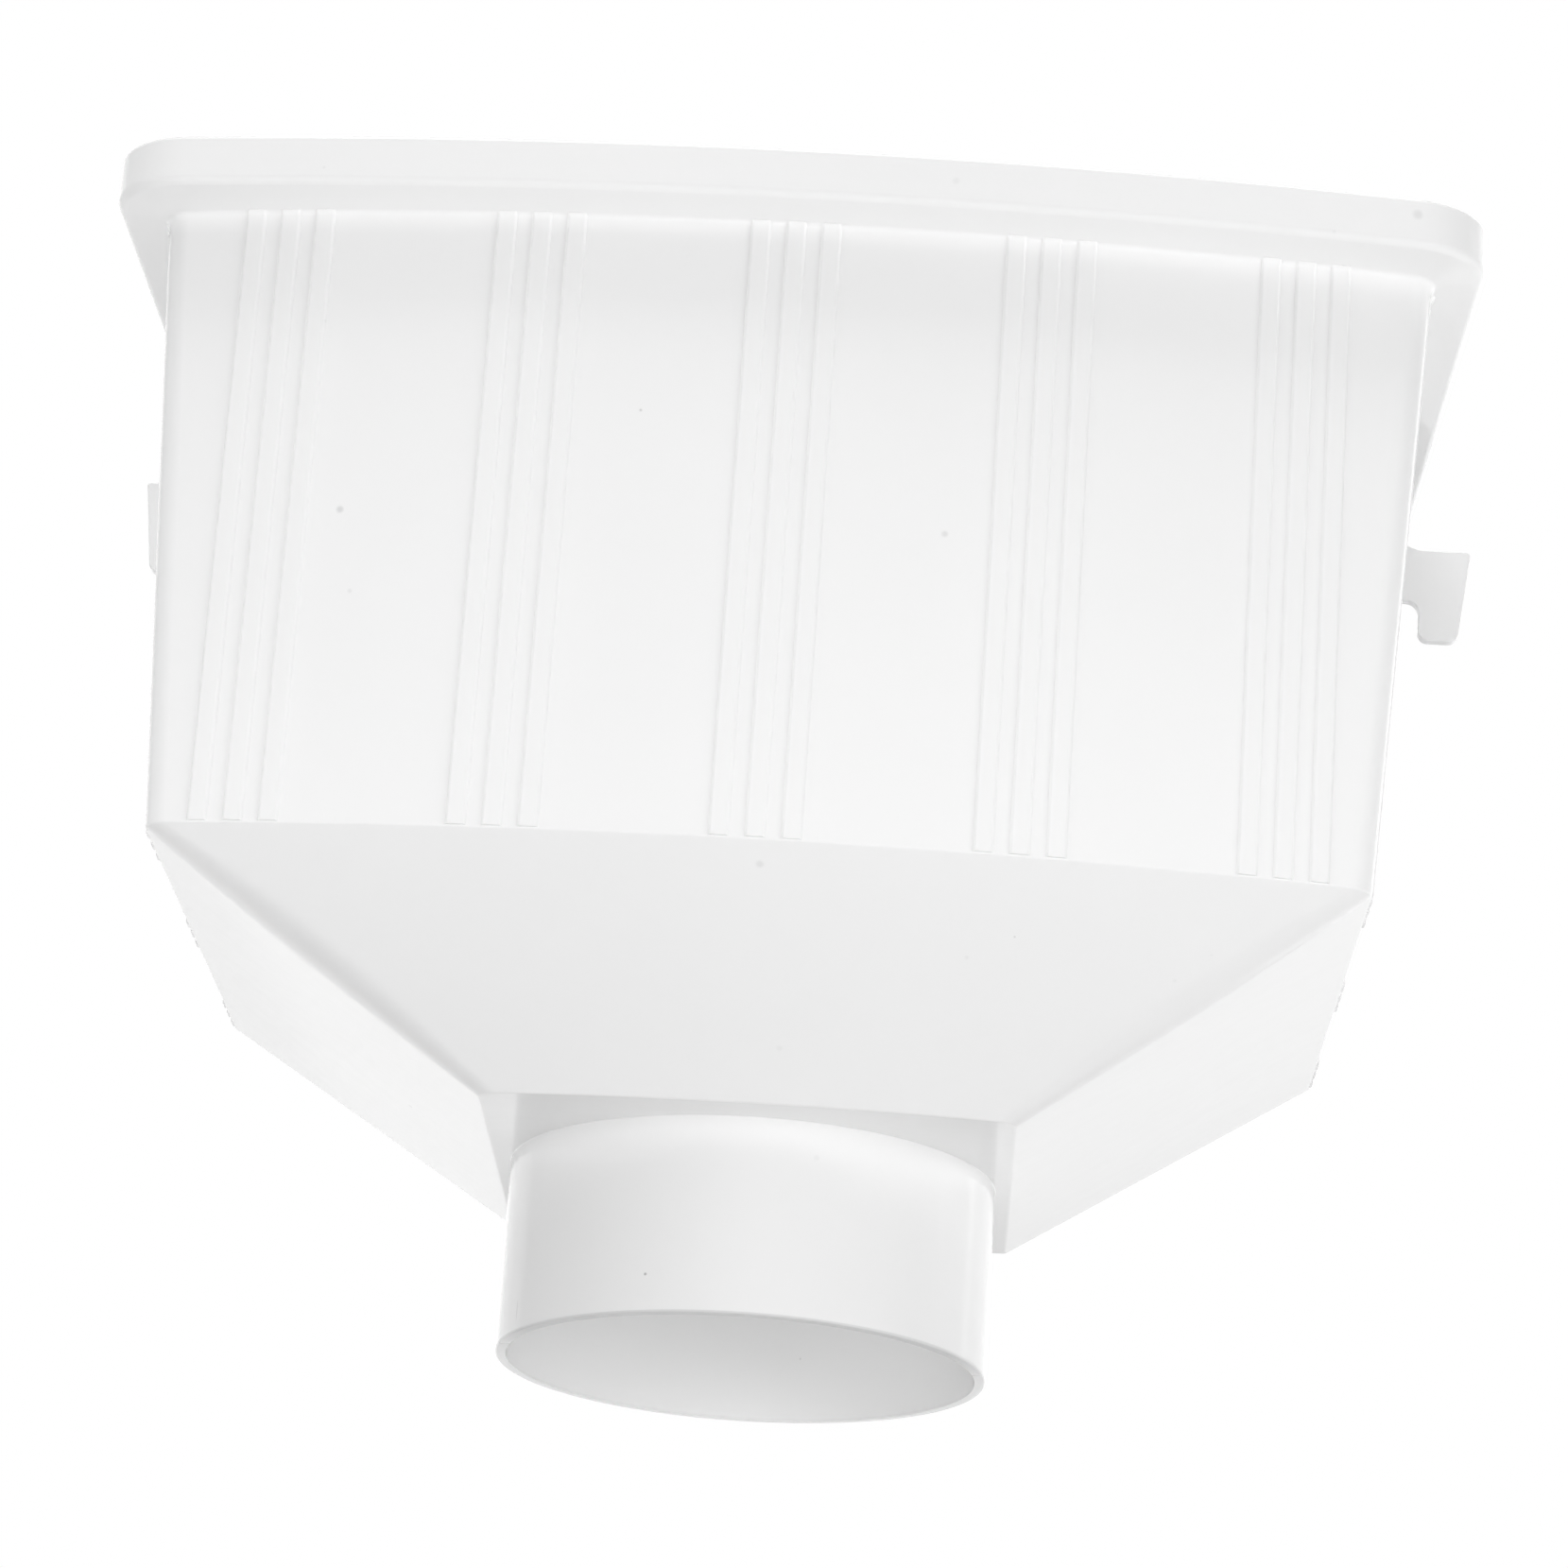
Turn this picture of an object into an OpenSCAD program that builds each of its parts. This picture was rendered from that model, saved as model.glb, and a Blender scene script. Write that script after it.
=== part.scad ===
// Rainwater hopper head, moulded in one piece: an open box with a stepped rim, a sloped
// underside, a round outlet spigot below it and two hook lugs against the wall.
// X runs across the front, Y runs from the front to the wall and Z runs up.
// The origin is the centre of the outlet's lower end.

/* [Outlet] */
// Outside diameter of the outlet spigot, which enters a downpipe socket
outlet_d = 110; // [80:1:150]
// Wall of the spigot
outlet_wall = 2.3; // [1.6:0.1:3]
// Length of the spigot below the flat floor
outlet_len = 44; // [30:1:80]
// Height and depth of the bevel round the spigot's lower end
outlet_bevel = 0.5; // [0.4:0.1:1.4]
// Clearance between the spigot and the wall behind it
wall_clearance = 1; // [1:0.5:10]

/* [Floor] */
// Flat floor beyond the spigot, each side
floor_side = 3.4; // [2:0.2:12]
// Flat floor in front of the spigot, at the middle
floor_front = 11.1; // [6:0.5:20]
// How far the floor's front edge bows forward
floor_bow = 4.1; // [1:0.1:6]
// Plan radius of the floor's front corners
floor_corner_r = 5; // [2:0.5:10]

/* [Body] */
// Rise of the sloped underside, from the floor to the foot of the upright walls
slope_h = 44.4; // [30:0.2:70]
// Height of the upright walls, from their foot to the rim's lower edge
body_h = 142.5; // [90:0.5:200]
// Width of the foot across the front corners
foot_w = 261.8; // [230:0.2:275]
// How much narrower the foot is against the wall than across its front corners
foot_close = 4.8; // [0:0.2:12]
// Depth of the foot, from the wall to the front corners
foot_depth = 157.9; // [140:0.1:160]
// How far the front face bows forward between its corners
front_bow = 11.8; // [4:0.1:16]
// Radius of the upright front corners
body_corner_r = 6; // [3:0.5:12]

/* [Rim] */
// Width of the rim across its front corners
rim_w = 303.1; // [290:0.1:330]
// How much narrower the rim is against the wall than across its front corners
rim_close = 7.7; // [0:0.1:12]
// Depth of the rim, from the wall to its front corners
rim_depth = 169.8; // [165:0.1:190]
// Height of the rim band
rim_h = 11.2; // [8:0.2:25]
// How far the rim steps out beyond the front wall
rim_step = 11.4; // [8:0.2:16]
// How far the rim steps out beyond each side wall
rim_side_step = 12.1; // [8:0.1:16]
// Fall of the step's underside, from its outer edge in to the wall
step_fall = 1.5; // [0.5:0.1:3]
// Plan radius of the rim's front corners
rim_corner_r = 19; // [10:0.5:24]
// Radius of the rim's lower outer edge
rim_edge_r = 2; // [1:0.1:3]
// Radius of the fillet between the step's underside and the upright walls
step_fillet_r = 1.9; // [1:0.1:3]
// Radius of the rim's top edges, outside and inside
lip_r = 0.8; // [0.3:0.1:1.1]

/* [Ribs] */
// Width of one raised rib
rib_w = 3.6; // [2:0.1:5]
// How far a rib stands proud of the wall
rib_proud = 0.6; // [0.3:0.1:1]
// Spacing of the ribs within a group, centre to centre
rib_pitch = 7.7; // [6:0.1:9]
// Ribs in a group
group_ribs = 3; // [1:1:3]
// Groups across the front face
front_groups = 5; // [1:1:5]
// Spacing of the front groups, centre to centre
front_group_pitch = 55.7; // [40:0.1:56]
// Groups along each side wall
side_groups = 3; // [1:1:3]
// Spacing of the side groups, centre to centre
side_group_pitch = 64.5; // [40:0.5:65]
// Distance from the wall to the centre of the rearmost side group
side_group_first = 10.5; // [10:0.5:16]

/* [Lugs] */
// Thickness of the lugs
lug_t = 3; // [2:0.5:5]
// How far a lug reaches out beyond the rim, at its top
lug_reach = 15.5; // [12:0.1:25]
// Height of a lug's arm
lug_arm_h = 13.4; // [9:0.2:16]
// Height of a lug from its top to the end of its leg
lug_h = 23.6; // [20:0.2:40]
// Width of the leg below the arm
lug_leg_w = 9.9; // [7:0.1:14]
// How far the leg's outer edge leans in on its way down
lug_lean = 2.4; // [0:0.1:3]
// Drop from the rim's lower edge to the lug's top
lug_drop = 4.5; // [3:0.5:8]
// Radius of the flare where the lug rises to the rim
lug_flare_r = 7; // [5:0.5:10]
// Radius of the slot's inner corner
lug_notch_r = 3; // [1:0.5:4]
// Radius of the leg's lower corners
lug_end_r = 2.6; // [1:0.2:3.4]

/* [Shell] */
// Thickness of the walls
wall = 2.5; // [1.8:0.1:2.6]

/* [Hidden] */
$fn = 128;
// Segments along a bowed front, round a plan corner and round an edge
front_n = 24;
corner_n = 8;
edge_n = 5;
// How far pieces reach into each other, and how far a cut passes a face
bite = 1.2;
past = 1;

outlet_r = outlet_d / 2;
bore_r = outlet_r - outlet_wall;
wall_y = outlet_r + wall_clearance;
foot_w_wall = foot_w - foot_close;
rim_w_wall = rim_w - rim_close;
floor_z = outlet_len;
foot_z = floor_z + slope_h;
step_z = foot_z + body_h;
rim_z = step_z + rim_h;
under_z = step_z - step_fall;

// A plan is [half width at the front, half width at the wall, y of the front corners,
// y of the back, bow of the front, radius of the front corners]
floor_hw = outlet_r + floor_side;
floor_plan = [
    floor_hw, floor_hw, floor_bow - outlet_r - floor_front, wall_y, floor_bow, floor_corner_r
];
foot_plan = [
    foot_w / 2, foot_w_wall / 2, wall_y - foot_depth, wall_y, front_bow, body_corner_r
];
top_plan = [
    rim_w / 2 - rim_side_step,
    rim_w_wall / 2 - rim_side_step,
    wall_y - rim_depth + rim_step,
    wall_y,
    front_bow,
    body_corner_r
];

// The inside of the slope, shifted so that the wall keeps its thickness round both bends
slope_a = atan(slope_h / (foot_w / 2 - floor_hw));
foot_in_z = foot_z + wall * tan(45 - slope_a / 2);
floor_in = wall * tan(slope_a / 2);

// The top plan grown outward in front, its sides and its corner radius keeping in step
function grown(out) =
    let (share = out / rim_step, side_out = share * rim_side_step)
    [
        top_plan[0] + side_out,
        top_plan[1] + side_out,
        top_plan[2] - out,
        top_plan[3],
        top_plan[4],
        body_corner_r + (rim_corner_r - body_corner_r) * share
    ];

// A plan shrunk inward by a gap on every side, back included
function inside(p, gap) = [
    p[0] - gap, p[1] - gap, p[2] + gap, wall_y - wall, p[4], max(p[5] - gap, 1)
];

// Radius of the arc that bows a front, and the y of its centre
function bow_r(p) = (p[0] * p[0] + p[4] * p[4]) / (2 * p[4]);
function bow_cy(p) = p[2] - p[4] + bow_r(p);
// y of the bowed front at a given x
function front_y(p, x) = bow_cy(p) - sqrt(pow(bow_r(p), 2) - x * x);
// Angle by which a side wall closes in toward the back
function splay(p) = atan((p[0] - p[1]) / (p[3] - p[2]));

// Centre of the right front corner's round: one radius in from the side line and tangent
// to the bowed front
function corner_c(p) =
    let (
        s = splay(p),
        along = [-sin(s), cos(s)],
        start = [p[0], p[2]] - p[5] * [cos(s), sin(s)],
        from_c = start - [0, bow_cy(p)],
        reach = -from_c * along
            - sqrt(pow(from_c * along, 2) - from_c * from_c + pow(bow_r(p) - p[5], 2))
    )
    start + reach * along;
function corner_a(p) = atan2(corner_c(p)[1] - bow_cy(p), corner_c(p)[0]);

// Points of an arc, both ends included
function arc(c, r, a0, a1, n) = [
    for (i = [0:n]) let (a = a0 + (a1 - a0) * i / n) c + r * [cos(a), sin(a)]
];

// Outline of a plan, counterclockwise from the left side: the left corner, the bowed
// front, the right corner and the straight back
function outline(p) =
    let (
        c = corner_c(p),
        a = corner_a(p),
        right = arc(c, p[5], a, splay(p), corner_n),
        bowed = arc([0, bow_cy(p)], bow_r(p), -180 - a, a, front_n)
    )
    concat(
        [for (i = [corner_n:-1:0]) [-right[i][0], right[i][1]]],
        [for (i = [1:front_n - 1]) bowed[i]],
        right,
        [[p[1], p[3]], [-p[1], p[3]]]
    );

// A solid through a stack of [plan, height] levels
module loft(levels) {
    rings = [for (l = levels) [for (q = outline(l[0])) [q[0], q[1], l[1]]]];
    n = len(rings[0]);
    m = len(rings);
    polyhedron(
        points = [for (r = rings) for (q = r) q],
        faces = concat(
            [[for (i = [0:n - 1]) i]],
            [for (k = [0:m - 2]) for (i = [0:n - 1])
                [k * n + i, (k + 1) * n + i, (k + 1) * n + (i + 1) % n]],
            [for (k = [0:m - 2]) for (i = [0:n - 1])
                [k * n + i, (k + 1) * n + (i + 1) % n, k * n + (i + 1) % n]],
            [[for (i = [n - 1:-1:0]) (m - 1) * n + i]]
        )
    );
}

// The outer form: floor, slope, upright walls, fillet under the step, rounded rim, lip
module outer_form() {
    fillet = [for (i = [0:edge_n]) let (a = 90 * i / edge_n) [
        grown(step_fillet_r * (1 - cos(a))), under_z - step_fillet_r * (1 - sin(a))
    ]];
    edge = [for (i = [0:edge_n]) let (a = 90 * i / edge_n) [
        grown(rim_step - rim_edge_r * (1 - sin(a))), step_z + rim_edge_r * (1 - cos(a))
    ]];
    lip = [for (i = [0:edge_n]) let (a = 90 * i / edge_n) [
        grown(rim_step - lip_r * (1 - cos(a))), rim_z - lip_r * (1 - sin(a))
    ]];
    loft(concat([[floor_plan, floor_z], [foot_plan, foot_z]], fillet, edge, lip));
}

// The hollow of the bowl, one wall thickness inside the outer form and open at the top
module bowl_form() {
    bend_r = step_fillet_r + wall;
    bend = [for (i = [0:edge_n]) let (a = 90 * i / edge_n) [
        inside(grown(step_fillet_r - bend_r * cos(a) + wall), wall),
        under_z - step_fillet_r + bend_r * sin(a)
    ]];
    lip = [for (i = [0:edge_n]) let (a = 90 * i / edge_n) [
        inside(grown(rim_step + lip_r * (1 - cos(a))), wall), rim_z - lip_r * (1 - sin(a))
    ]];
    rim_in = inside(grown(rim_step), wall);
    loft(concat(
        [[inside(floor_plan, floor_in), floor_z + wall], [inside(foot_plan, wall), foot_in_z]],
        bend,
        [[rim_in, step_z + wall]],
        lip,
        [[inside(grown(rim_step + lip_r), wall), rim_z + past]]
    ));
}

// One rib: a bar from a foot point up to the step, facing outward at an angle in plan
module rib(foot, facing, lean) {
    translate([foot[0], foot[1], foot_z])
        rotate([0, 0, facing])
            rotate([lean, 0, 0])
                translate([-rib_w / 2, -rib_proud, 0])
                    cube([rib_w, rib_proud + bite, (under_z - foot_z) / cos(lean) + rib_proud]);
}

// Offset of each rib in a group from the group's centre
function rib_offsets() = [
    for (i = [0:group_ribs - 1]) (i - (group_ribs - 1) / 2) * rib_pitch
];

module front_ribs() {
    for (g = [0:front_groups - 1])
        for (dx = rib_offsets()) {
            x = (g - (front_groups - 1) / 2) * front_group_pitch + dx;
            foot_y = front_y(foot_plan, x);
            lean = atan((foot_y - front_y(top_plan, x)) / (under_z - foot_z));
            rib([x, foot_y], asin(x / bow_r(foot_plan)), lean);
        }
}

// Half width of a plan at a given y
function side_x(p, y) = p[1] + (p[0] - p[1]) * (p[3] - y) / (p[3] - p[2]);

// The ribs of the right side wall
module side_ribs() {
    for (g = [0:side_groups - 1])
        for (dy = rib_offsets()) {
            y = wall_y - side_group_first - g * side_group_pitch + dy;
            foot_x = side_x(foot_plan, y);
            lean = atan((side_x(top_plan, y) - foot_x) / (under_z - foot_z));
            rib([foot_x, y], 90 + splay(foot_plan), lean);
        }
}

// The right lug: an arm from the side wall with a leg that hooks over a screw
module lug() {
    x0 = side_x(foot_plan, wall_y) + (top_plan[1] - foot_plan[1])
        * (body_h - lug_drop - lug_arm_h) / body_h - bite;
    x1 = rim_w_wall / 2 + lug_reach;
    top = step_z - lug_drop;
    end = top - lug_h;
    notch = top - lug_arm_h;
    leg_x = x1 - lug_lean - lug_leg_w;
    flare_x = rim_w_wall / 2 + lug_drop - bite / 2;
    flare_a = acos((lug_flare_r - lug_drop) / lug_flare_r);
    shape = concat(
        [[x0, notch]],
        arc([leg_x - lug_notch_r, notch - lug_notch_r], lug_notch_r, 90, 0, edge_n),
        arc([leg_x + lug_end_r, end + lug_end_r], lug_end_r, 180, 270, edge_n),
        arc([x1 - lug_lean - lug_end_r, end + lug_end_r], lug_end_r, 270, 360, edge_n),
        arc([x1 - lip_r, top - lip_r], lip_r, 0, 90, edge_n),
        arc([flare_x, top + lug_flare_r], lug_flare_r, -90, -90 - flare_a, edge_n),
        [[rim_w_wall / 2 - rim_edge_r, step_z + lip_r], [x0, step_z + lip_r]]
    );
    translate([0, wall_y, 0])
        rotate([90, 0, 0])
            linear_extrude(lug_t)
                polygon(shape);
}

// The spigot, with its lower end bevelled outside
module spigot() {
    rotate_extrude()
        polygon([
            [bore_r - bite, 0],
            [outlet_r - outlet_bevel, 0],
            [outlet_r, outlet_bevel],
            [outlet_r, floor_z + wall / 2],
            [bore_r - bite, floor_z + wall / 2]
        ]);
}

module hopper() {
    color("white")
        difference() {
            union() {
                outer_form();
                spigot();
                front_ribs();
                for (side = [0, 1])
                    mirror([side, 0, 0]) {
                        side_ribs();
                        lug();
                    }
            }
            bowl_form();
            translate([0, 0, -past])
                cylinder(r = bore_r, h = floor_z + wall + 2 * past);
        }
}

hopper();
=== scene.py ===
# %% [markdown]
# A rainwater hopper head hangs on the wall at the top of a downpipe. Gutters or roof outlets
# pour into its open top, and the round spigot underneath enters the pipe. This one is a single
# injection moulding in glossy white plastic, so the whole object is one skin: the outside runs
# from the spigot up over the slopes and walls to the rim, turns over the lip, and comes back
# down on the inside. The lesson models that skin as a stack of rings, adds the ribs and the two
# hook lugs, gives it its finish, and lights it as in a bright studio.

from collections import namedtuple
from math import acos, atan, atan2, cos, degrees, pi, radians, sin, sqrt, tan

import bmesh
import bpy
from mathutils import Matrix, Vector


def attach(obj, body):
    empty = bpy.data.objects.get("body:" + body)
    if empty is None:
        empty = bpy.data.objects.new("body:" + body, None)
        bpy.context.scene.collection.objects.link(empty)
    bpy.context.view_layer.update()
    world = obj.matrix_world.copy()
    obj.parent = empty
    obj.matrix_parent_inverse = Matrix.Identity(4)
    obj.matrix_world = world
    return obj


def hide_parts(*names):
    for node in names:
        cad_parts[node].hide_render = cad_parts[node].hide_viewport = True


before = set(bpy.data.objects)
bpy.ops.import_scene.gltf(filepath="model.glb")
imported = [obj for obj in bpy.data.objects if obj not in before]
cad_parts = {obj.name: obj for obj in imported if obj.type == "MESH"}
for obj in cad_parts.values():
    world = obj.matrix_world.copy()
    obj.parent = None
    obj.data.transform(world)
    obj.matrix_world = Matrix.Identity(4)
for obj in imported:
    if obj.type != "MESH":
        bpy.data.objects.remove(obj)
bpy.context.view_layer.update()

# %% [markdown]
# A moulding is drawn in plan first. Every horizontal cut through the box has the same kind of
# outline: a front that bows forward a little, rounded front corners, sides that close in
# slightly toward the wall, and a straight back. So a plan is six numbers, in millimetres: half
# its width in front and at the back, how far back its front corners and its back lie, how far
# the front bows forward, and the radius of the corners.

# %% Plans of the floor, the foot of the walls and their top
MM = 0.001
outlet_r, outlet_wall, outlet_len = 55.0, 2.3, 44.0
wall, wall_y = 2.5, 56.0
slope_h, body_h, rim_h, step_fall = 44.4, 142.5, 11.2, 1.5
rim_step, rim_side_step = 11.4, 12.1
floor_z = outlet_len
foot_z = floor_z + slope_h
step_z = foot_z + body_h
rim_z = step_z + rim_h
under_z = step_z - step_fall

Plan = namedtuple("Plan", "half_front half_back corner_y back_y bow corner_r")
floor_plan = Plan(58.4, 58.4, -62.0, wall_y, 4.1, 5.0)
foot_plan = Plan(130.9, 128.5, -101.9, wall_y, 11.8, 6.0)
top_plan = Plan(139.45, 135.6, -102.4, wall_y, 11.8, 6.0)
rim_corner_r = 19.0


def grown(out):
    """The top plan grown outward in front, its sides and its corner radius keeping in step."""
    p, share = top_plan, out / rim_step
    side_out = share * rim_side_step
    return Plan(p.half_front + side_out, p.half_back + side_out, p.corner_y - out, p.back_y,
                p.bow, p.corner_r + (rim_corner_r - p.corner_r) * share)


def inside(p, gap):
    """A plan shrunk inward all round, back included."""
    return Plan(p.half_front - gap, p.half_back - gap, p.corner_y + gap, wall_y - wall, p.bow,
                max(p.corner_r - gap, 1.0))


def bow_radius(p):
    return (p.half_front ** 2 + p.bow ** 2) / (2 * p.bow)


def bow_centre(p):
    return p.corner_y - p.bow + bow_radius(p)


def front_y(p, x):
    """Where the bowed front stands at a distance x from the middle."""
    return bow_centre(p) - sqrt(bow_radius(p) ** 2 - x * x)


def splay(p):
    """The angle by which a side wall closes in toward the back."""
    return atan((p.half_front - p.half_back) / (p.back_y - p.corner_y))


def side_x(p, y):
    """Half width at a depth y."""
    return p.half_back + (p.half_front - p.half_back) * (p.back_y - y) / (p.back_y - p.corner_y)


def corner_centre(p):
    """Centre of the round that touches both the side line and the bowed front."""
    s = splay(p)
    along = Vector((-sin(s), cos(s)))
    start = Vector((p.half_front, p.corner_y)) - p.corner_r * Vector((cos(s), sin(s)))
    off = start - Vector((0, bow_centre(p)))
    d = off.dot(along)
    return start + along * (-d - sqrt(d * d - off.dot(off) + (bow_radius(p) - p.corner_r) ** 2))


print("foot of the walls: bow radius", round(bow_radius(foot_plan)), "mm, side walls close by",
      round(degrees(splay(foot_plan)), 2), "degrees")

# %% [markdown]
# A ring is a plan turned into points. All rings have the same number of points, so that each
# one joins the next with clean four-sided faces. The points aren't spread evenly: the ribs
# need an edge on each of their two sides, so those places come first and the gaps between
# them are filled. On the upright walls the points keep their x and y from ring to ring, since
# the ribs stand upright, and on the slopes they fan out with the plan.

# %% Places of the points along half an outline
rib_w, rib_draft, rib_proud, rib_pitch = 4.0, 0.5, 0.6, 7.7
front_groups, front_group_pitch = 5, 55.7
side_groups, side_group_pitch, side_group_first = 3, 64.5, 10.5
rib_base = (rib_w + rib_draft) / 2
corner_n, back_n, round_n, back_edge_r, gap_limit = 12, 22, 8, 0.5, 3.9

front_ribs = [g * front_group_pitch + k * rib_pitch for g in range(front_groups // 2 + 1)
              for k in (-1, 0, 1) if g or k >= 0]
side_ribs = [wall_y - side_group_first - g * side_group_pitch + k * rib_pitch
             for g in range(side_groups) for k in (-1, 0, 1)]


def filled(marks):
    """Marks in order, with more between them where a gap is wide."""
    marks, out = sorted(set(round(m, 4) for m in marks)), []
    for a, b in zip(marks, marks[1:]):
        n = int((b - a) / gap_limit) + 1
        out += [a + (b - a) * i / n for i in range(n)]
    return out + marks[-1:]


def corner_arc(p):
    """The points of the front corner's round, both ends included."""
    c = corner_centre(p)
    a0, a1 = atan2(c.y - bow_centre(p), c.x), splay(p)
    angles = [a0 + (a1 - a0) * i / corner_n for i in range(corner_n + 1)]
    return [c + p.corner_r * Vector((cos(a), sin(a))) for a in angles]


def edges_of(ribs):
    return [x + side * rib_base for x in ribs for side in (-1, 1)]


foot_arc = corner_arc(foot_plan)
front_marks = filled([0.0, foot_arc[0].x] + [x for x in edges_of(front_ribs) if x > 0])[:-1]
side_end = wall_y - back_edge_r
side_marks = filled([foot_arc[-1].y, side_end] + edges_of(side_ribs))[1:-1]
print("half an outline:", len(front_marks), "points in front,", len(side_marks), "on the side")

# %% [markdown]
# The outline itself goes from the middle of the front, round the corner and along the side to
# the middle of the back. The back corner gets a tiny round of its own, as every edge of a
# moulding has. Over the last stretch of a side the points close up a little where a plan ends
# sooner, as the plans of the inside do. Only this half is worked out. The other half is its
# mirror image.

# %% Turn a plan into a ring of points
squeeze_from = 40.0


def side_place(p, y, upright):
    """A side mark's depth in another plan: kept on the upright walls, fanned elsewhere."""
    end = p.back_y - back_edge_r
    if not upright:
        start = corner_arc(p)[-1].y
        return end - (side_end - y) * (end - start) / (side_end - foot_arc[-1].y)
    if y < squeeze_from:
        return y
    return squeeze_from + (y - squeeze_from) * (end - squeeze_from) / (side_end - squeeze_from)


def half_outline(p, upright=True):
    arc = corner_arc(p)
    spread = 1 if upright else arc[0].x / foot_arc[0].x
    front = [Vector((x * spread, front_y(p, x * spread))) for x in front_marks]
    side = [Vector((side_x(p, y), y)) for y in
            (side_place(p, m, upright) for m in side_marks)]
    before = Vector((side_x(p, p.back_y - back_edge_r), p.back_y - back_edge_r))
    corner = Vector((p.half_back, p.back_y))
    after = Vector((p.half_back - back_edge_r, p.back_y))
    bend = [before * (1 - t) ** 2 + corner * 2 * t * (1 - t) + after * t * t
            for t in (0, 0.33, 0.67, 1)]
    back = [Vector((after.x * (1 - i / back_n), p.back_y)) for i in range(1, back_n + 1)]
    return front + arc + side + bend + back


def ring(p, z, upright=True):
    return [Vector((q.x, q.y, z)) for q in half_outline(p, upright)]


directions = [atan2(q.y, q.x) for q in half_outline(floor_plan, upright=False)]


def circle(r, z):
    """A round ring whose points face those of the floor's outline."""
    return [Vector((r * cos(a), r * sin(a), z)) for a in directions]


points_round = 2 * len(directions) - 2
print("points in a whole ring:", points_round)

# %% [markdown]
# Where two faces of the real moulding meet there is a small round, because a tool never cuts
# a perfectly sharp corner and light always catches on that round. A bevel could make it
# afterwards, but here it is easier to lay it in from the start: a bend between three rings is
# replaced by a few rings that swing from one face into the other.

# %% Helpers for bends and for rings in between
most_of_the_way = 0.45


def toward(bend, other, r):
    """A point r away from a bend toward another point, but never half the way there."""
    way = other - bend
    return bend + way.normalized() * min(r, most_of_the_way * way.length)


def rounded(before, bend, after, r, steps=4):
    """Rings that swing round a bend, starting and ending about r away from it."""
    rows = []
    for t in (i / steps for i in range(steps + 1)):
        rows.append([toward(b, a, r) * (1 - t) ** 2 + b * 2 * t * (1 - t) + toward(b, c, r) * t * t
                     for a, b, c in zip(before, bend, after)])
    return rows


def between(low, high, steps):
    """Evenly spaced rings between two, without the two themselves."""
    return [[a.lerp(b, i / steps) for a, b in zip(low, high)] for i in range(1, steps)]


def quarter(make, steps=round_n):
    """Rings made at angles from 0 to 90 degrees."""
    return [make(radians(90 * i / steps)) for i in range(steps + 1)]


# %% [markdown]
# The outside, from the spigot's lower end upward: a small round at the end, the straight
# spigot, a tight fillet into the flat floor, the slopes, the upright walls, and the stepped
# rim, whose lower edge has a clear 2 mm round that catches the light in a line all the way
# round. Two forms aren't plain bends. The hips, where the front slope meets the side slopes,
# are rounder a little past halfway up than at their ends. And the fillet under the rim is taller
# than it is wide: the wall leans out slowly at first, and faster as it nears the ledge.

# %% Rings of the outside
end_round_r, junction_r, floor_edge_r, crease_r = 0.5, 0.25, 0.5, 0.35
rim_edge_r, lip_r, lip_n = 2.0, 0.8, 5
fillet_up, fillet_out, fillet_n = 4.0, 1.5, 10
hip_r, hip_shift = 5.5, 1.2
slope_steps, wall_steps, spigot_steps = 12, 6, 4

end_corner = circle(outlet_r, 0)
spigot_top = circle(outlet_r, floor_z)
floor_edge = ring(floor_plan, floor_z, upright=False)
foot = ring(foot_plan, foot_z)
wall_top = ring(top_plan, under_z - fillet_up)

spigot = rounded(circle(outlet_r - outlet_wall / 2, 0), end_corner, spigot_top, end_round_r)
junction = rounded(end_corner, spigot_top, floor_edge, junction_r)
floor_rim = rounded(spigot_top, floor_edge, foot, floor_edge_r)
crease = rounded(floor_edge, foot, wall_top, crease_r)
fillet = [ring(grown(fillet_out * t * t), under_z - fillet_up * (1 - t) ** 2)
          for t in (i / fillet_n for i in range(fillet_n + 1))]
rim_edge = quarter(lambda a: ring(grown(rim_step - rim_edge_r * (1 - sin(a))),
                                  step_z + rim_edge_r * (1 - cos(a))))
lip_out = quarter(lambda a: ring(grown(rim_step - lip_r * (1 - cos(a))),
                                 rim_z - lip_r * (1 - sin(a))), lip_n)


def slope_ring(share):
    """A ring of the slopes, at a share of their height, with its hips made rounder."""
    plan = Plan(*(a + (b - a) * share for a, b in zip(floor_plan, foot_plan)))
    plan = plan._replace(corner_r=plan.corner_r + hip_r * sin(pi * share ** hip_shift))
    return ring(plan, floor_z + slope_h * share, upright=False)


slopes = [slope_ring(i / slope_steps) for i in range(1, slope_steps)]
outside = (spigot + between(spigot[-1], junction[0], spigot_steps) + junction + floor_rim
           + slopes + crease)
rib_foot = len(outside) - 1
outside += between(crease[-1], wall_top, wall_steps)
rib_fillet = len(outside)
outside += fillet + rim_edge + lip_out
print("rings outside:", len(outside))

# %% [markdown]
# The inside runs back down one wall thickness away. Nobody sees it in the photograph, so it is
# finished plainly, with the softer bends that the core of a mould leaves.

# %% Rings of the inside
bore_r = outlet_r - outlet_wall
inner_bend_r, bowl_bend_r, bore_edge_r, step_r = 0.8, 2.5, 0.6, 1.9
slope_a = atan(slope_h / (foot_plan.half_front - floor_plan.half_front))
bend_r = step_r + wall

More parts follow.
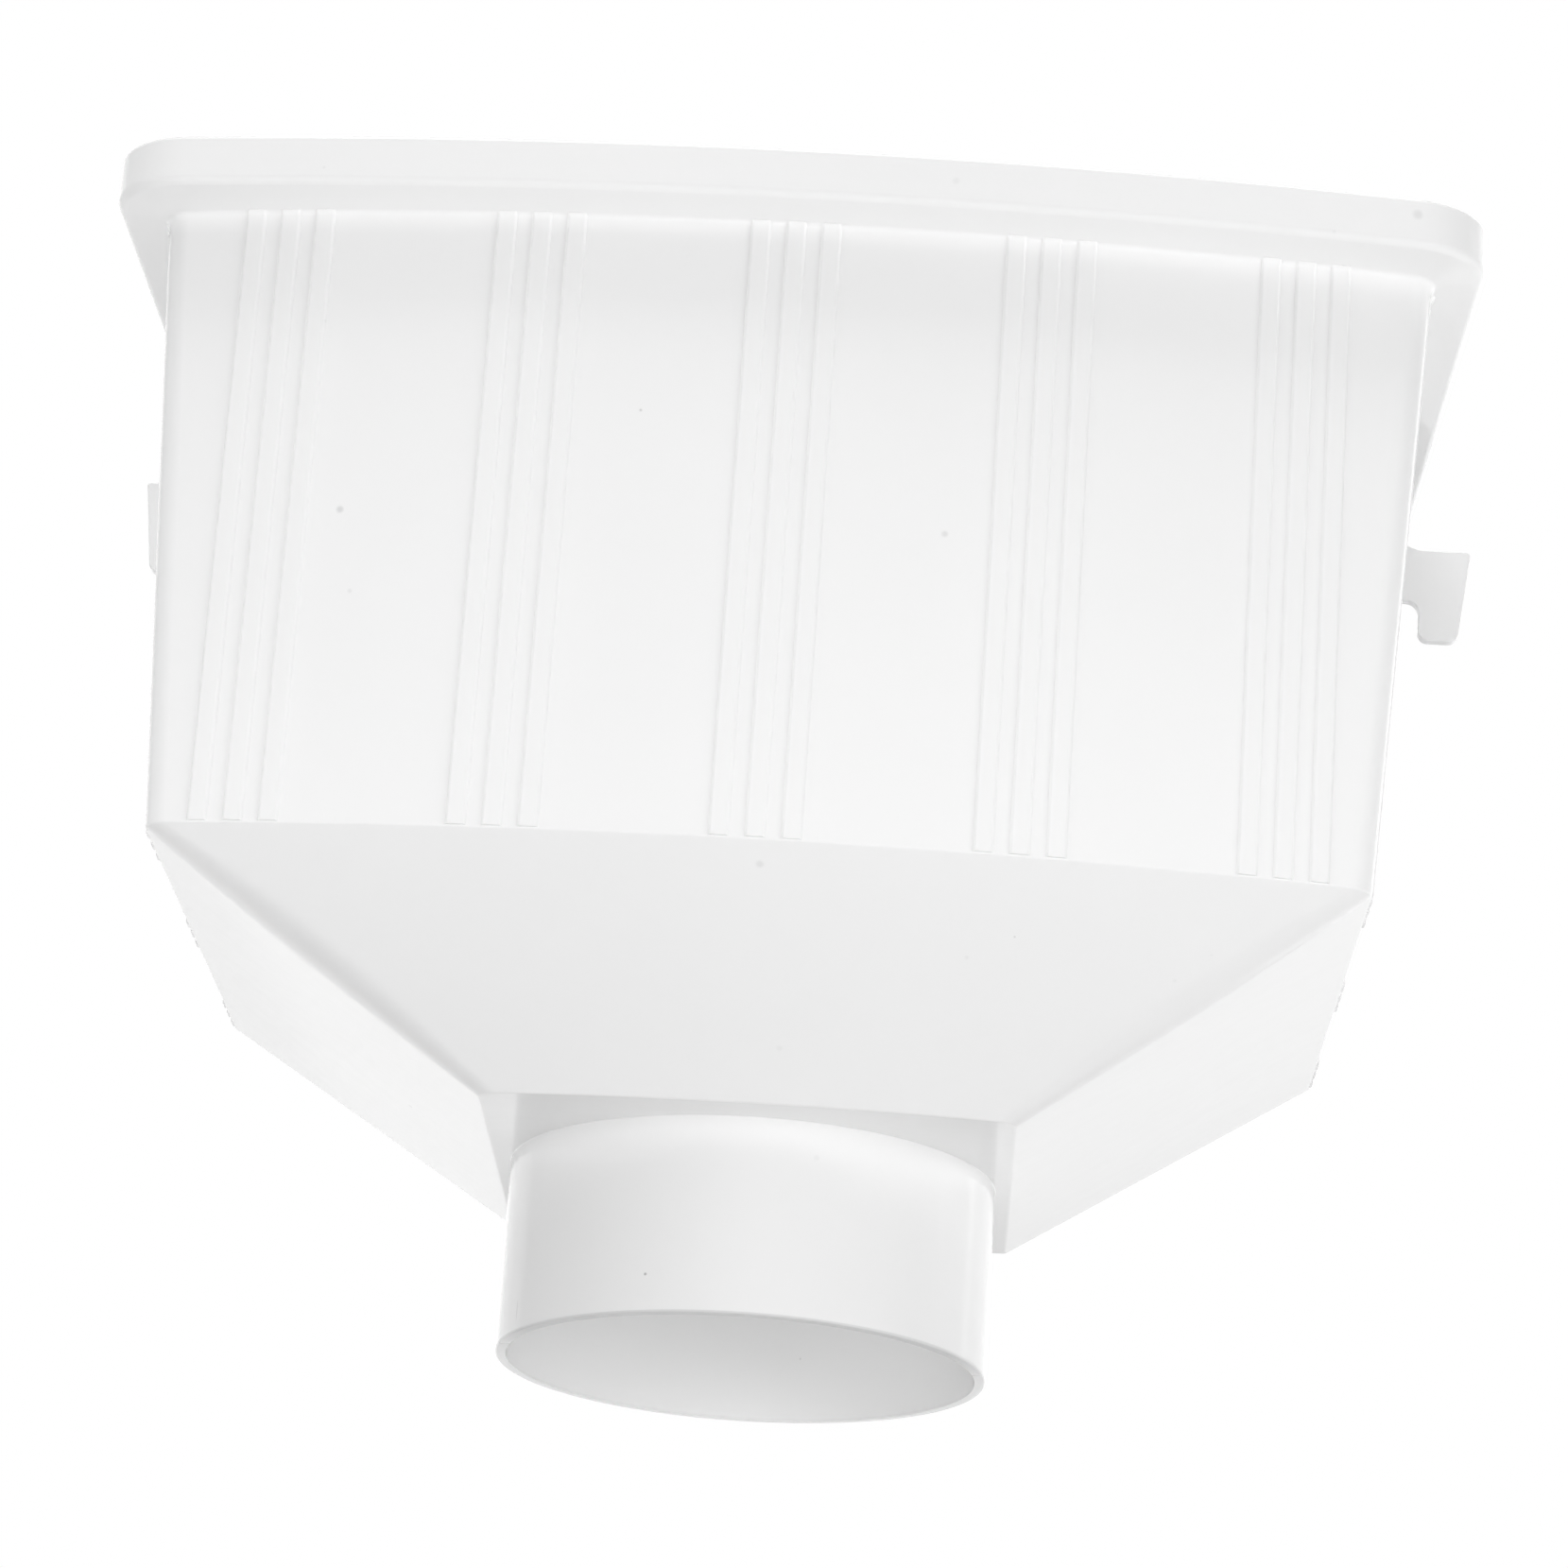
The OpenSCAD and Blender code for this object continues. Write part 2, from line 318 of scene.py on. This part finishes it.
lip_in = quarter(lambda a: ring(inside(grown(rim_step + lip_r * (1 - sin(a))), wall),
                                rim_z - lip_r * (1 - cos(a))), lip_n)
rim_in = ring(inside(grown(rim_step), wall), step_z + wall)
step_in = quarter(lambda a: ring(inside(grown(step_r - bend_r * sin(a) + wall), wall),
                                 under_z - step_r + bend_r * cos(a)))
foot_in = ring(inside(foot_plan, wall), foot_z + wall * tan(pi / 4 - slope_a / 2))
floor_in = ring(inside(floor_plan, wall * tan(slope_a / 2)), floor_z + wall, upright=False)
bore_top = circle(bore_r, floor_z + wall)
bore_end = circle(bore_r, 0)

shoulder = rounded(lip_in[-1], rim_in, step_in[0], inner_bend_r)
bowl_foot = rounded(step_in[-1], foot_in, floor_in, bowl_bend_r)
bowl_floor = rounded(foot_in, floor_in, bore_top, bowl_bend_r)
bore_edge = rounded(floor_in, bore_top, bore_end, bore_edge_r)
inner = (lip_in + shoulder + step_in + between(step_in[-1], bowl_foot[0], wall_steps)
         + bowl_foot + between(bowl_foot[-1], bowl_floor[0], slope_steps) + bowl_floor
         + bore_edge + between(bore_edge[-1], bore_end, spigot_steps) + [bore_end])
print("rings inside:", len(inner))

# %% [markdown]
# The skin starts as one closed chain of edges. Extruding that chain and setting it down on the
# next ring gives a band of faces, and doing so over and over gives the whole moulding. At the
# end the last ring meets the first at the spigot's lower end, and a bridge closes the skin.
# Each point remembers its place in the ring and the number of its ring, to find faces later.

# %% Build the skin
bm = bmesh.new()
place = bm.verts.layers.int.new("place")
level = bm.verts.layers.int.new("level")


def whole(half):
    """A half ring and its mirror image as one closed row of points, in metres."""
    left = [Vector((-p.x, p.y, p.z)) for p in half[-2:0:-1]]
    return [p * MM for p in half + left]


def first_ring(points):
    verts = [bm.verts.new(p) for p in points]
    for i, v in enumerate(verts):
        v[place], v[level] = i, 0
    return [bm.edges.new((verts[i - 1], v)) for i, v in enumerate(verts)]


def next_ring(edges, points, number):
    """Extrude the chain of edges, set it down on the next ring and return the new chain."""
    made = bmesh.ops.extrude_edge_only(bm, edges=edges)["geom"]
    new = {v for v in made if isinstance(v, bmesh.types.BMVert)}
    for v in new:
        v.co, v[level] = points[v[place]], number
    return [e for e in made if isinstance(e, bmesh.types.BMEdge)
            and e.verts[0] in new and e.verts[1] in new]


rings = [whole(half) for half in outside + inner]
start = chain = first_ring(rings[0])
for number, points in enumerate(rings[1:], 1):
    chain = next_ring(chain, points, number)
bmesh.ops.bridge_loops(bm, edges=start + chain)
bmesh.ops.recalc_face_normals(bm, faces=bm.faces)
print("skin:", len(bm.verts), "points,", len(bm.faces), "faces, open edges:",
      sum(e.is_boundary for e in bm.edges))

# %% [markdown]
# Thirty-three ribs stiffen the walls, in groups of three. Each is a raised strip with slightly
# sloped flanks, so that it leaves the mould, and it runs from the crease up into the fillet
# under the rim. The faces between a rib's two edges are extruded together and pushed out. In
# the last rings of the fillet they are pushed out less, until the strip melts into the ledge.
#
# Each rib has a number, so that two neighbours aren't taken for one. The rib in the middle of
# the front lies in both halves and keeps its number in the mirrored one, where the others
# change sign.

# %% Raise the ribs
middle_rib, first_side_rib = 1, 101
mark_slack, melt_share = 0.01, 0.6
Rib = namedtuple("Rib", "number outward across share")


def rib_table():
    """For each place in the ring that belongs to a rib: its rib, directions and side."""
    table, reach = {}, rib_base + mark_slack
    for i, x in enumerate(front_marks):
        lean = x / bow_radius(foot_plan)
        outward, across = Vector((lean, -sqrt(1 - lean * lean), 0)), Vector((1, lean, 0))
        for n, centre in enumerate(front_ribs, middle_rib):
            if abs(x - centre) < reach:
                table[i] = Rib(n, outward, across, (x - centre) / rib_base)
    s = splay(foot_plan)
    outward, across = Vector((cos(s), sin(s), 0)), Vector((-sin(s), cos(s), 0))
    for i, y in enumerate(side_marks, len(front_marks) + corner_n + 1):
        for n, centre in enumerate(side_ribs, first_side_rib):
            if abs(y - centre) < reach:
                table[i] = Rib(n, outward, across, (y - centre) / rib_base)
    flip = Vector((-1, 1, 1))
    for i, rib in list(table.items()):
        if i > 0:
            number = rib.number if rib.number == middle_rib else -rib.number
            table[points_round - i] = Rib(number, rib.outward * flip, rib.across * flip, rib.share)
    return table


ribs = rib_table()


def stands_out(number):
    """How far a rib stands out at a ring: in full, until it nears the end of the fillet."""
    left = fillet_n - max(0, number - rib_fillet)
    return rib_proud * min(1.0, max(0.0, melt_share * left))


rib_top = next(n for n in range(rib_fillet, len(outside)) if stands_out(n) == 0)


def on_rib(face):
    """Whether all corners of a face belong to one rib and lie between its ends."""
    owners = {ribs[v[place]].number if v[place] in ribs else 0 for v in face.verts}
    rows = [v[level] for v in face.verts]
    return len(owners) == 1 and 0 not in owners and rib_foot <= min(rows) and max(rows) <= rib_top


weld_d, sliver_d = 0.001 * MM, 0.002 * MM
strip = bm.faces.layers.int.new("strip")
under = [f for f in bm.faces if on_rib(f)]
raised = bmesh.ops.extrude_face_region(bm, geom=under)["geom"]
bmesh.ops.delete(bm, geom=under, context="FACES")
for item in raised:
    if isinstance(item, bmesh.types.BMFace):
        item[strip] = 1
    elif isinstance(item, bmesh.types.BMVert):
        rib, out = ribs[item[place]], stands_out(item[level])
        sideways = -rib.share * rib_draft * out / rib_proud
        item.co += (rib.outward * out + rib.across * sideways) * MM
bmesh.ops.remove_doubles(bm, verts=bm.verts, dist=weld_d)
bmesh.ops.dissolve_degenerate(bm, dist=sliver_d, edges=bm.edges)
print("strips of rib faces:", sum(f[strip] for f in bm.faces))

# %% [markdown]
# The ribs' crests get a bevel, because it is this small round that shows as a bright line on
# the side toward the light and a dark one on the other.

# %% Soften the crests of the ribs
rib_crest_r = 0.25


def soften(mesh, edges, size, steps):
    """Round some edges of a mesh, as an arc in a few steps."""
    bmesh.ops.bevel(mesh, geom=edges, offset=size * MM, affect="EDGES", segments=steps,
                    profile=0.5, material=-1, clamp_overlap=True)


def is_crest(edge):
    """An edge between a rib's top and its flank or end, not where the rib has melted away."""
    marks = sorted(f[strip] for f in edge.link_faces)
    return marks == [0, 1] and max(stands_out(v[level]) for v in edge.verts) > 0


crests = [e for e in bm.edges if is_crest(e)]
soften(bm, crests, rib_crest_r, 2)
print("crest edges bevelled:", len(crests), "- faces now", len(bm.faces))

# %% [markdown]
# A hook lug stands out from each side against the wall. Its arm flares up into the rim, and its
# leg reaches down outside a slot that drops over a wall screw. It is a plate, so its outline is
# drawn as one face, extruded to its thickness and bevelled round its edges. Its back lies a
# twentieth of a millimetre inside the back wall, because two faces in exactly one plane shade
# each other black. The left lug is the mirror image of the right one.

# %% Make the right lug and mirror it
lug_t, lug_reach, lug_drop, lug_arm_h, lug_h = 3.0, 15.5, 4.5, 13.4, 23.6
lug_leg_w, lug_lean, lug_inset = 9.9, 2.4, 0.05
lug_flare_r, lug_notch_r, lug_end_r, lug_edge_r, bite = 7.0, 3.0, 2.6, 0.35, 1.2
rim_half_back = top_plan.half_back + rim_side_step


def arc(cx, cz, r, a0, a1, steps=7):
    angles = [radians(a0 + (a1 - a0) * i / steps) for i in range(steps + 1)]
    return [(cx + r * cos(a), cz + r * sin(a)) for a in angles]


lug_top = step_z - lug_drop
lug_end, notch_z = lug_top - lug_h, lug_top - lug_arm_h
tip_x = rim_half_back + lug_reach
leg_x = tip_x - lug_lean - lug_leg_w
root_share = (body_h - lug_drop - lug_arm_h) / body_h
root_x = foot_plan.half_back + (top_plan.half_back - foot_plan.half_back) * root_share - bite
flare_a = degrees(acos((lug_flare_r - lug_drop) / lug_flare_r))
lug_outline = (
    [(root_x, notch_z)]
    + arc(leg_x - lug_notch_r, notch_z - lug_notch_r, lug_notch_r, 90, 0)
    + arc(leg_x + lug_end_r, lug_end + lug_end_r, lug_end_r, 180, 270)
    + arc(tip_x - lug_lean - lug_end_r, lug_end + lug_end_r, lug_end_r, 270, 360)
    + arc(tip_x - lip_r, lug_top - lip_r, lip_r, 0, 90, 4)
    + arc(rim_half_back + lug_drop - bite / 2, lug_top + lug_flare_r, lug_flare_r, -90,
          -90 - flare_a)
    + [(rim_half_back - rim_edge_r, step_z + lip_r), (root_x, step_z + lip_r)])

lug = bmesh.new()
lug_front, lug_back = wall_y - lug_t, wall_y - lug_inset
plate = lug.faces.new([lug.verts.new(Vector((x, lug_back, z)) * MM) for x, z in lug_outline])
raised = bmesh.ops.extrude_face_region(lug, geom=[plate], use_keep_orig=True)["geom"]
bmesh.ops.translate(lug, vec=Vector((0, lug_front - lug_back, 0)) * MM,
                    verts=[v for v in raised if isinstance(v, bmesh.types.BMVert)])
bmesh.ops.recalc_face_normals(lug, faces=lug.faces)
rims = [e for e in lug.edges if abs(e.verts[0].co.y - e.verts[1].co.y) < weld_d]
soften(lug, rims, lug_edge_r, 3)
bmesh.ops.mirror(lug, geom=lug.verts[:] + lug.edges[:] + lug.faces[:], axis="X",
                 matrix=Matrix(), merge_dist=-1)
bmesh.ops.recalc_face_normals(lug, faces=lug.faces)
print("lugs:", len(lug.faces), "faces, tip at x", round(tip_x, 1), "mm")

# %% [markdown]
# Skin and lugs come together in one mesh, since the real thing is one moulding. All faces are
# smooth, edges sharper than 30 degrees stay sharp, and a Weighted Normal modifier lets the
# large flat faces keep their own direction beside the small rounds.

# %% Turn the skin and lugs into one piece
sharp_angle = radians(30)
lug_mesh = bpy.data.meshes.new("lugs")
lug.to_mesh(lug_mesh)
lug.free()
bm.from_mesh(lug_mesh)
bpy.data.meshes.remove(lug_mesh)
for face in bm.faces:
    face.smooth = True
for edge in bm.edges:
    edge.smooth = len(edge.link_faces) != 2 or edge.calc_face_angle() < sharp_angle
mesh = bpy.data.meshes.new("hopper_head")
bm.to_mesh(mesh)
bm.free()
head = bpy.data.objects.new("hopper_head", mesh)
bpy.context.scene.collection.objects.link(head)
weighted = head.modifiers.new("flat faces keep their normals", "WEIGHTED_NORMAL")
weighted.keep_sharp = True
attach(head, "root")
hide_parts("hopper")
print("one piece with", len(mesh.polygons), "faces")

# %% [markdown]
# The plastic is glossy white, and a single colour would make it look computed. The real
# surface has a soft waviness left by the mould, a slight drift of tone where the melt flowed,
# and a gloss that isn't quite even. All three come from noise laid out in the object's own
# coordinates, so that they stay on the piece from every side. A small helper makes a node, sets
# its options and values, and links whatever other nodes feed it. An input goes by its name, or
# as i0, i1 and so on by its place where several inputs share one name.

# %% White tone, gloss and waviness of the plastic
def node(tree, kind, **settings):
    """A node with its options set, its input values set and its inputs linked."""
    made = tree.nodes.new(kind)
    for name, value in settings.items():
        if hasattr(made, name):
            setattr(made, name, value)
            continue
        socket = made.inputs[int(name[1]) if name[1:].isdigit() else name.replace("_", " ")]
        if isinstance(value, bpy.types.NodeSocket):
            tree.links.new(value, socket)
        else:
            socket.default_value = value
    return made


def eased(tree, value, low, high, at_low, at_high, kind="LINEAR"):
    """A value carried from one range into another, and held at both ends."""
    return node(tree, "ShaderNodeMapRange", interpolation_type=kind, Value=value, From_Min=low,
                From_Max=high, To_Min=at_low, To_Max=at_high).outputs[0]


white_tone, tone_drift = 0.9, 0.012
least_rough, most_rough, wave_h = 0.06, 0.11, 0.05
noise_low, noise_high = 0.3, 0.7
plastic = bpy.data.materials.new("glossy_white_plastic")
plastic.use_nodes = True
tree = plastic.node_tree
shader = tree.nodes["Principled BSDF"]
shader.inputs["IOR"].default_value = 1.5
head.data.materials.append(plastic)

coords = node(tree, "ShaderNodeTexCoord").outputs["Object"]
flow = node(tree, "ShaderNodeTexNoise", Vector=coords, Scale=9.0, Detail=3.0).outputs[0]
tone = eased(tree, flow, noise_low, noise_high, white_tone - tone_drift,
             white_tone + tone_drift / 2)
haze = node(tree, "ShaderNodeTexNoise", Vector=coords, Scale=26.0, Detail=4.0).outputs[0]
rough = eased(tree, haze, noise_low, noise_high, least_rough, most_rough)
waves = node(tree, "ShaderNodeTexNoise", Vector=coords, Scale=75.0, Detail=2.0).outputs[0]
bump = node(tree, "ShaderNodeBump", Height=waves, Strength=1.0, Distance=wave_h * MM)
tree.links.new(bump.outputs[0], shader.inputs["Normal"])
print("white tone", white_tone, "drifts by", tone_drift)

# %% [markdown]
# The spigot's end is rougher and less glossy than the moulded skin, and its tone carries painted
# shade, darkest on its near side. It is picked out by height, because nothing else lies so
# low, and it fades upward over a quarter of a millimetre and backward over thirty. The piece
# has also gathered a few dark specks of dust, and a short scratch on the left of the spigot.
# Each speck is a place and a width in millimetres, and a depth in tones of the display: the
# distance from that place fades the tone to dark.

# %% Rough end with painted shade, specks of dust and the scratch
end_low, end_high, end_near, end_far = 0.45, 0.7, -28, 2
far_share, end_rougher, end_painted_shade = 0.15, 0.35, 0.22


def worked(kind, *values):
    """What one step of arithmetic gives in the plastic's tree."""
    inputs = {"i%d" % i: value for i, value in enumerate(values)}
    return node(tree, "ShaderNodeMath", operation=kind, **inputs).outputs[0]


apart = node(tree, "ShaderNodeSeparateXYZ", Vector=coords).outputs
low = eased(tree, apart["Z"], end_low * MM, end_high * MM, 1.0, 0.0)
near = eased(tree, apart["Y"], end_near * MM, end_far * MM, 1.0, far_share)
dull_and_shaded_end = worked("MULTIPLY", low, near)
rough = worked("MULTIPLY_ADD", dull_and_shaded_end, end_rougher, rough)
# Painted shade: the end's tone is darkened, most on its near side; its extra roughness is real.
tone = worked("MULTIPLY", tone, worked("MULTIPLY_ADD", dull_and_shaded_end, -end_painted_shade, 1.0))

dust = [((-30.9, -113.4, 184.1), 0.6, 26), ((-94.4, -108.2, 159.5), 1.4, 22),
        ((36.1, -113.1, 159.4), 1.3, 16), ((-90.6, -108.5, 140.8), 0.9, 10),
        ((-101.7, -107.7, 203.4), 0.7, 8), ((-118.9, -24.7, 81.2), 0.5, 24),
        ((-79.3, 1.2, 56.9), 1.1, 18), ((-106.6, -35.3, 73.6), 0.65, 8),
        ((-76.2, 2.6, 55.0), 1.0, 5), ((55.7, -97.0, 75.3), 0.5, 24),
        ((1.3, -109.3, 84.3), 1.5, 12), ((6.8, -76.4, 53.7), 1.2, 5),
        ((45.8, -93.4, 71.2), 0.9, 6), ((97.6, -91.8, 75.4), 0.7, 6),
        ((90.2, -87.3, 70.6), 1.0, 5), ((134.6, -116.2, 238.3), 2.0, 13),
        ((34.2, -125.0, 236.7), 1.4, 6), ((116.5, -118.6, 232.2), 0.7, 6),
        ((-103.5, -120.1, 234.4), 0.65, 6), ((-19.8, -51.3, 8.5), 0.6, 56),
        ((15.6, -52.8, 36.2), 1.2, 6), ((11.9, 51.3, 14.9), 0.5, 16)]
scratch, scratch_stretch = ((-49.0, -24.9, 4.8), 0.45, 18), 9.0
speck_core, speck_edge, lit_tone, display_gamma = 0.2, 0.8, 240, 2.2


def darkened(tone, where, size, depth, stretch=1.0):
    """The tone with one speck on it, which may be drawn out upright into a scratch."""
    off = node(tree, "ShaderNodeVectorMath", operation="SUBTRACT", i0=coords,
               i1=Vector(where) * MM)
    squeezed = node(tree, "ShaderNodeVectorMath", operation="MULTIPLY", i0=off.outputs[0],
                    i1=(1, 1, 1 / stretch))
    far = node(tree, "ShaderNodeVectorMath", operation="LENGTH", i0=squeezed.outputs[0])
    darkest = (1 - depth / lit_tone) ** display_gamma
    speck = eased(tree, far.outputs["Value"], speck_core * size * MM, speck_edge * size * MM,
                  darkest, 1.0, "SMOOTHSTEP")
    return worked("MULTIPLY", tone, speck)


for where, size, depth in dust:
    tone = darkened(tone, where, size, depth)
tone = darkened(tone, *scratch, stretch=scratch_stretch)
tree.links.new(tone, shader.inputs["Base Color"])
tree.links.new(rough, shader.inputs["Roughness"])
print("specks of dust:", len(dust))

# %% [markdown]
# The photograph was taken from in front and below, with a long lens. The camera stands where
# the picture's own lines put it, and looks up by 18.6 degrees.

# %% Camera
camera_place = (0.048178, -1.221579, -0.271253)
camera_turn, camera_tilt, camera_roll = -2.2111, 18.5532, 3.8694
sensor_w, lens_f = 36, 127.465


def aim(turn, tilt, roll):
    """Rotation of a camera that looks along +Y, turned, tilted up and rolled, in degrees."""
    a, b, c = radians(turn), radians(tilt), radians(roll)
    forward = Vector((sin(a) * cos(b), cos(a) * cos(b), sin(b)))
    right = Vector((cos(a), -sin(a), 0))
    up = right.cross(forward)
    across = right * cos(c) + up * sin(c)
    upward = up * cos(c) - right * sin(c)
    return Matrix((across, upward, -forward)).transposed()


camera = bpy.data.objects.new("camera", bpy.data.cameras.new("camera"))
bpy.context.scene.collection.objects.link(camera)
bpy.context.scene.camera = camera
camera.data.sensor_width = sensor_w
camera.data.lens = lens_f
turned = aim(camera_turn, camera_tilt, camera_roll)
camera.matrix_world = Matrix.Translation(camera_place) @ turned.to_4x4()
print("camera stands", round(camera.location.length, 3), "m from the outlet")

# %% [markdown]
# The head hangs high on a wall, so the pale floor of the studio lies well below it and out of
# the picture. A white object shows its form only where the light on it changes, so the
# surroundings give no light of their own, and the lamps do all of it. To the camera and to
# reflections the world is plain white. The floor is white to reflections too, which keeps the
# glossy underside clean, and from the camera's side it fades to the world's white toward its
# edge, so that no horizon shows.

# %% Floor and surroundings
floor_depth, floor_half, floor_tone, floor_rough = 1.3, 2.0, 0.86, 0.7
fade_from, fade_to = 0.6, 1.8
WHITE = (1, 1, 1, 1)

floor = bpy.data.objects.new("floor", bpy.data.meshes.new("floor"))
ground = bmesh.new()
bmesh.ops.create_grid(ground, x_segments=1, y_segments=1, size=floor_half)
bmesh.ops.translate(ground, vec=Vector((0, 0, -floor_depth)), verts=ground.verts)
ground.to_mesh(floor.data)
ground.free()
bpy.context.scene.collection.objects.link(floor)
paint = bpy.data.materials.new("pale_floor")
paint.use_nodes = True
ground_tree = paint.node_tree
pale = ground_tree.nodes["Principled BSDF"]
pale.inputs["Base Color"].default_value = (floor_tone, floor_tone, floor_tone, 1)
pale.inputs["Roughness"].default_value = floor_rough
spot = node(ground_tree, "ShaderNodeTexCoord").outputs["Object"]
away = node(ground_tree, "ShaderNodeVectorMath", operation="LENGTH", i0=spot).outputs["Value"]
edge = eased(ground_tree, away, fade_from, fade_to, 0.0, 1.0, "SMOOTHSTEP")
ray = node(ground_tree, "ShaderNodeLightPath").outputs
fade = node(ground_tree, "ShaderNodeMath", operation="MULTIPLY", i0=edge,
            i1=ray["Is Camera Ray"])
bright = node(ground_tree, "ShaderNodeMath", operation="MAXIMUM", i0=fade.outputs[0],
              i1=ray["Is Glossy Ray"])
glow = node(ground_tree, "ShaderNodeEmission", Color=WHITE, Strength=1.0)
blend = node(ground_tree, "ShaderNodeMixShader", Fac=bright.outputs[0], i1=pale.outputs[0],
             i2=glow.outputs[0])
ground_tree.links.new(blend.outputs[0],
                      ground_tree.nodes["Material Output"].inputs["Surface"])
floor.data.materials.append(paint)

world = bpy.data.worlds.new("studio")
bpy.context.scene.world = world
world.use_nodes = True
air = world.node_tree
air.nodes.clear()
path = node(air, "ShaderNodeLightPath").outputs
seen = node(air, "ShaderNodeMath", operation="ADD", use_clamp=True, i0=path["Is Camera Ray"],
            i1=path["Is Glossy Ray"])
dark = node(air, "ShaderNodeBackground", Color=WHITE, Strength=0.0)
white = node(air, "ShaderNodeBackground", Color=WHITE, Strength=1.0)
mix = node(air, "ShaderNodeMixShader", Fac=seen.outputs[0], i1=dark.outputs[0],
           i2=white.outputs[0])
node(air, "ShaderNodeOutputWorld", Surface=mix.outputs[0])
print("floor lies", floor_depth, "m below the outlet")

# %% [markdown]
# White on white only reads when the light changes gently from one face to the next. Six square
# lamps of one metre stand around the object at a metre and a half. The right one and the one
# overhead are the strongest. Those low on the left are weaker, so that the left flanks of the
# ribs come out a little darker than the right ones. The three that stand low round the front
# are hidden from reflections, because otherwise they would glare in the fillet under the rim.
# So is the wide lamp in front and below, which fills the slopes. A narrow strip close under the
# front brightens the ledge and the lower edge of the rim. A large panel behind brightens the
# edges, and a small one on the right brightens the right side wall.

# %% Lamps
lamp_size, lamp_distance, low_front_distance = 1.0, 1.5, 2.0
lamps = {"front_left": (-30, -10, 3.6, False), "left": (-60, -10, 6.4, False),
         "right": (60, -10, 13.0, False), "left_above": (-30, 50, 6.0, True),
         "overhead": (0, 80, 14.0, True), "left_behind": (-150, -20, 0.5, True)}


def lamp(name, place, aim_at, width, height, watts, mirrored=True):
    """A soft lamp that the camera doesn't see, and reflections only where it is mirrored."""
    made = bpy.data.objects.new(name, bpy.data.lights.new(name, "AREA"))
    made.visible_glossy = mirrored
    made.data.shape, made.data.energy = "RECTANGLE", watts
    made.data.size, made.data.size_y = width, height
    made.location = place
    made.rotation_euler = (Vector(aim_at) - Vector(place)).to_track_quat("-Z", "Y").to_euler()
    made.visible_camera = False
    bpy.context.scene.collection.objects.link(made)


def way_out(turn, rise):
    """The direction from the object to a lamp, turned from the front and raised."""
    a, e = radians(turn), radians(rise)
    return Vector((sin(a) * cos(e), -cos(a) * cos(e), sin(e)))


middle = Vector((0, -0.04, 0.12))
for name, (turn, rise, watts, mirrored) in lamps.items():
    lamp(name, middle + way_out(turn, rise) * lamp_distance, middle, lamp_size, lamp_size, watts,
         mirrored)
lamp("low_front", middle + way_out(0, -35) * low_front_distance, middle,
     width=1.4, height=1.0, watts=5.1, mirrored=False)
lamp("low_strip", place=(0, -0.35, 0), aim_at=(0, -0.13, 0.23),
     width=0.9, height=0.24, watts=0.345)
lamp("panel_behind", place=(0, 2.2, 0.6), aim_at=(0, 0, 0.6), width=6.0, height=3.8, watts=26.0)
lamp("panel_right", place=(0.6, 0.12, 0.1), aim_at=(0.6, -1, 0.1),
     width=0.8, height=1.2, watts=1.0)
bpy.context.scene.view_settings.view_transform = "Standard"
